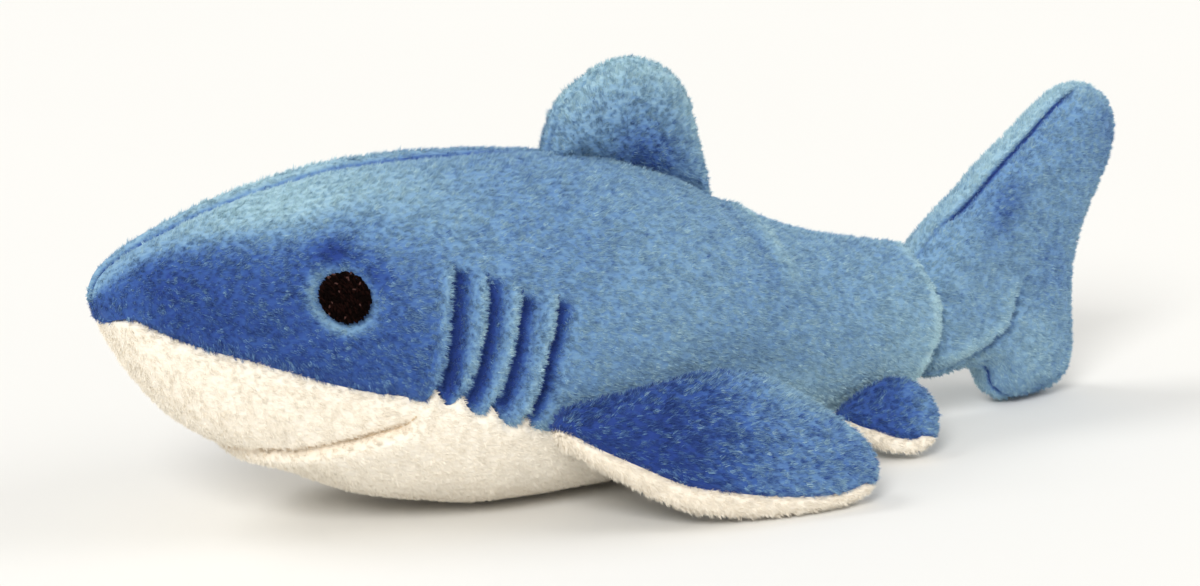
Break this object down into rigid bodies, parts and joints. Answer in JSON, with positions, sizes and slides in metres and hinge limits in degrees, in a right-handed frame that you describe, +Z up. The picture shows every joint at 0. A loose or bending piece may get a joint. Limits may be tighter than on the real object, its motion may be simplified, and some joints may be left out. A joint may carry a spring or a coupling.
{
  "type": "plush shark",
  "caption": "Stuffed plush shark lying on its belly, with a sewn blue back, cream belly, embroidered eyes, stitched gills, and soft fins and tail that bend.",
  "frame": {"origin": "on the flat of the belly, on the body's middle plane, below the gills", "axes": "the nose points along -X and the tail along +X; +Z is up; the shark's left side is at -Y"},
  "size_m": [0.3326, 0.14, 0.116],
  "materials": {
    "blue_plush": "matte",
    "deep_blue_plush": "matte",
    "cream_plush": "matte",
    "fibre_filling": "matte",
    "eye_embroidery": "satin",
    "blue_thread": "satin",
    "tan_thread": "satin"
  },
  "bodies": {
    "body": {"body_panel_left": "blue_plush", "body_panel_right": "blue_plush", "belly_panel": "cream_plush", "body_stuffing": "fibre_filling", "eye_left": "eye_embroidery", "eye_right": "eye_embroidery", "mouth_stitch": "tan_thread", "gill_stitch_left_1": "blue_thread", "gill_stitch_left_2": "blue_thread", "gill_stitch_left_3": "blue_thread", "gill_stitch_left_4": "blue_thread", "gill_stitch_right_1": "blue_thread", "gill_stitch_right_2": "blue_thread", "gill_stitch_right_3": "blue_thread", "gill_stitch_right_4": "blue_thread"},
    "tail": {"tail_panel_left": "blue_plush", "tail_panel_right": "blue_plush", "tail_belly_panel": "cream_plush", "tail_stuffing": "fibre_filling"},
    "caudal_fin": {"caudal_panel_left": "blue_plush", "caudal_panel_right": "blue_plush", "caudal_stuffing": "fibre_filling"},
    "dorsal_fin": {"dorsal_panel_left": "deep_blue_plush", "dorsal_panel_right": "deep_blue_plush", "dorsal_stuffing": "fibre_filling"},
    "pectoral_fin_left": {"pectoral_left_top": "deep_blue_plush", "pectoral_left_under": "cream_plush", "pectoral_left_stuffing": "fibre_filling"},
    "pectoral_fin_right": {"pectoral_right_top": "deep_blue_plush", "pectoral_right_under": "cream_plush", "pectoral_right_stuffing": "fibre_filling"},
    "pelvic_fin_left": {"pelvic_left_top": "deep_blue_plush", "pelvic_left_under": "cream_plush", "pelvic_left_stuffing": "fibre_filling"},
    "pelvic_fin_right": {"pelvic_right_top": "deep_blue_plush", "pelvic_right_under": "cream_plush", "pelvic_right_stuffing": "fibre_filling"}
  },
  "joints": [
    {"name": "tail_bend", "type": "hinge", "parent": "body", "child": "tail", "pos_m": [0.104, -0.0012, 0.033], "axis": [0, 0, 1], "range_deg": [-22, 22], "stiffness_Nm_per_rad": 0.25},
    {"name": "tail_fin_bend", "type": "hinge", "parent": "tail", "child": "caudal_fin", "pos_m": [0.151, -0.00683, 0.036], "axis": [0, 0, 1], "range_deg": [-30, 20], "stiffness_Nm_per_rad": 0.12},
    {"name": "dorsal_fin_sway", "type": "hinge", "parent": "body", "child": "dorsal_fin", "pos_m": [0.053, 0, 0.091], "axis": [0.9568, 0, -0.2909], "range_deg": [-35, 35], "stiffness_Nm_per_rad": 0.06},
    {"name": "pectoral_fin_left_lift", "type": "hinge", "parent": "body", "child": "pectoral_fin_left", "pos_m": [0.03488, -0.0469, 0.03203], "axis": [-0.9965, 0.0045, -0.084], "range_deg": [0, 70], "stiffness_Nm_per_rad": 0.06},
    {"name": "pectoral_fin_right_lift", "type": "hinge", "parent": "body", "child": "pectoral_fin_right", "pos_m": [0.03488, 0.0469, 0.03203], "axis": [0.9965, 0.0045, 0.084], "range_deg": [0, 70], "stiffness_Nm_per_rad": 0.06},
    {"name": "pelvic_fin_left_lift", "type": "hinge", "parent": "tail", "child": "pelvic_fin_left", "pos_m": [0.12082, -0.02741, 0.01445], "axis": [-0.9787, -0.0321, -0.203], "range_deg": [-5, 50], "stiffness_Nm_per_rad": 0.02},
    {"name": "pelvic_fin_right_lift", "type": "hinge", "parent": "tail", "child": "pelvic_fin_right", "pos_m": [0.12082, 0.02221, 0.01445], "axis": [0.9787, -0.0321, 0.203], "range_deg": [-5, 50], "stiffness_Nm_per_rad": 0.02}
  ]
}
